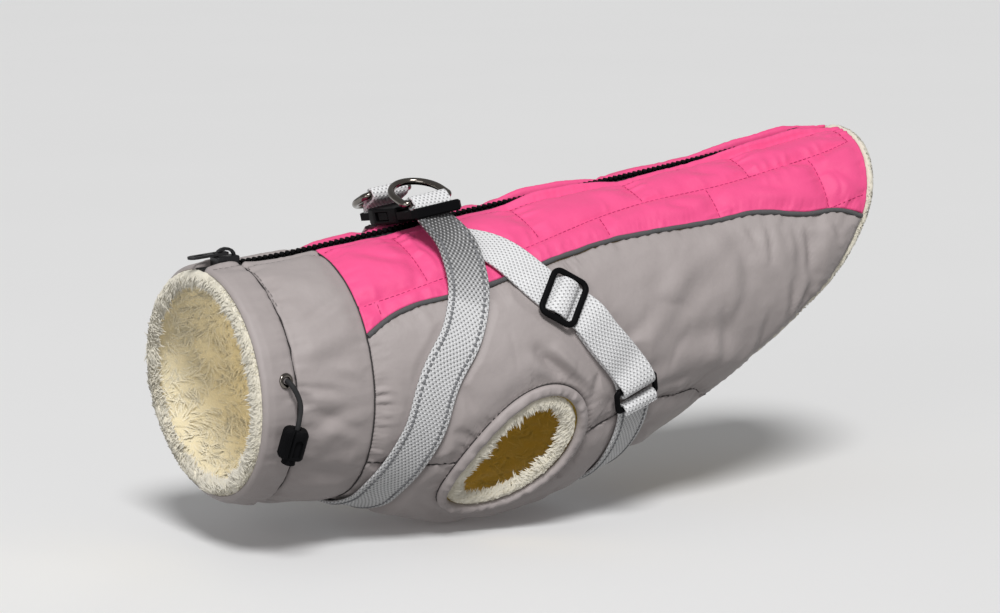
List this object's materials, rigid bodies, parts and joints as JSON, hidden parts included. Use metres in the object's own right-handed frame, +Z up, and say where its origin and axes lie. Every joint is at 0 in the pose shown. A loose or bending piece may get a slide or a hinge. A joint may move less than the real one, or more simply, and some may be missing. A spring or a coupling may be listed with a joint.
{
  "type": "dog winter coat",
  "caption": "Padded dog coat with a quilted back, fleece lining, back zip, armholes, drawcord neck and a sewn-on webbing harness with a buckle and lead rings.",
  "frame": {"origin": "inside the top of the back at the harness line, where the wearer's back holds the coat up", "axes": "+X from the neck to the tail, +Y to the dog's right, +Z up"},
  "size_m": [0.3717, 0.1488, 0.18],
  "materials": {
    "pink_nylon": "satin woven nylon, quilted",
    "grey_nylon": "soft woven nylon, padded",
    "fleece": "deep pile fleece",
    "piping": "reflective tape folded over a cord",
    "webbing": "ribbed woven webbing",
    "black_plastic": "moulded, satin",
    "zip_tape": "herringbone tape",
    "black_metal": "black enamel",
    "gunmetal": "dark polished plate",
    "black_cord": "braided elastic cord"
  },
  "bodies": {
    "coat": {"armhole_cuff_left": "grey_nylon", "armhole_cuff_right": "grey_nylon", "belly": "grey_nylon", "buckle_female": "black_plastic", "buckle_male": "black_plastic", "collar": "grey_nylon", "cord_lock": "black_plastic", "drawcord": "black_cord", "eyelet": "gunmetal", "lining_belly": "fleece", "lining_left": "fleece", "lining_right": "fleece", "neck_band": "grey_nylon", "piping_left": "piping", "piping_right": "piping", "ring_left": "black_plastic", "ring_loop_left": "webbing", "ring_loop_right": "webbing", "ring_right": "black_plastic", "saddle_left": "pink_nylon", "saddle_right": "pink_nylon", "side_left": "grey_nylon", "side_right": "grey_nylon", "slider_left": "black_plastic", "slider_right": "black_plastic", "strap_belly": "webbing", "strap_front": "webbing", "strap_rear_left": "webbing", "strap_rear_right": "webbing", "strap_return_left": "webbing", "strap_return_right": "webbing", "zip_chain": "black_plastic", "zip_slider": "black_metal", "zip_stop": "black_plastic", "zip_tape": "zip_tape"},
    "pull": {"zip_pull": "black_metal"},
    "lead_ring_left": {"d_ring_left": "gunmetal"},
    "lead_ring_right": {"d_ring_right": "gunmetal"},
    "plunger": {"cord_lock_plunger": "black_plastic"}
  },
  "joints": [
    {"name": "zip_pull_hinge", "type": "hinge", "parent": "coat", "child": "pull", "pos_m": [-0.10511, 0, -0.00103], "axis": [0, 1, 0], "range_deg": [0, 170]},
    {"name": "lead_ring_left_hinge", "type": "hinge", "parent": "coat", "child": "lead_ring_left", "pos_m": [-0.00799, -0.0194, 0.01944], "axis": [0.9898, 0, 0.1423], "range_deg": [-12, 160]},
    {"name": "lead_ring_right_hinge", "type": "hinge", "parent": "coat", "child": "lead_ring_right", "pos_m": [-0.00799, 0.0195, 0.01944], "axis": [0.9898, 0, 0.1423], "range_deg": [0, 170]},
    {"name": "cord_lock_press", "type": "slide", "parent": "coat", "child": "plunger", "axis": [-0.1471, 0.2808, -0.9484], "range_m": [-0.003, 0], "stiffness_N_per_m": 600}
  ]
}
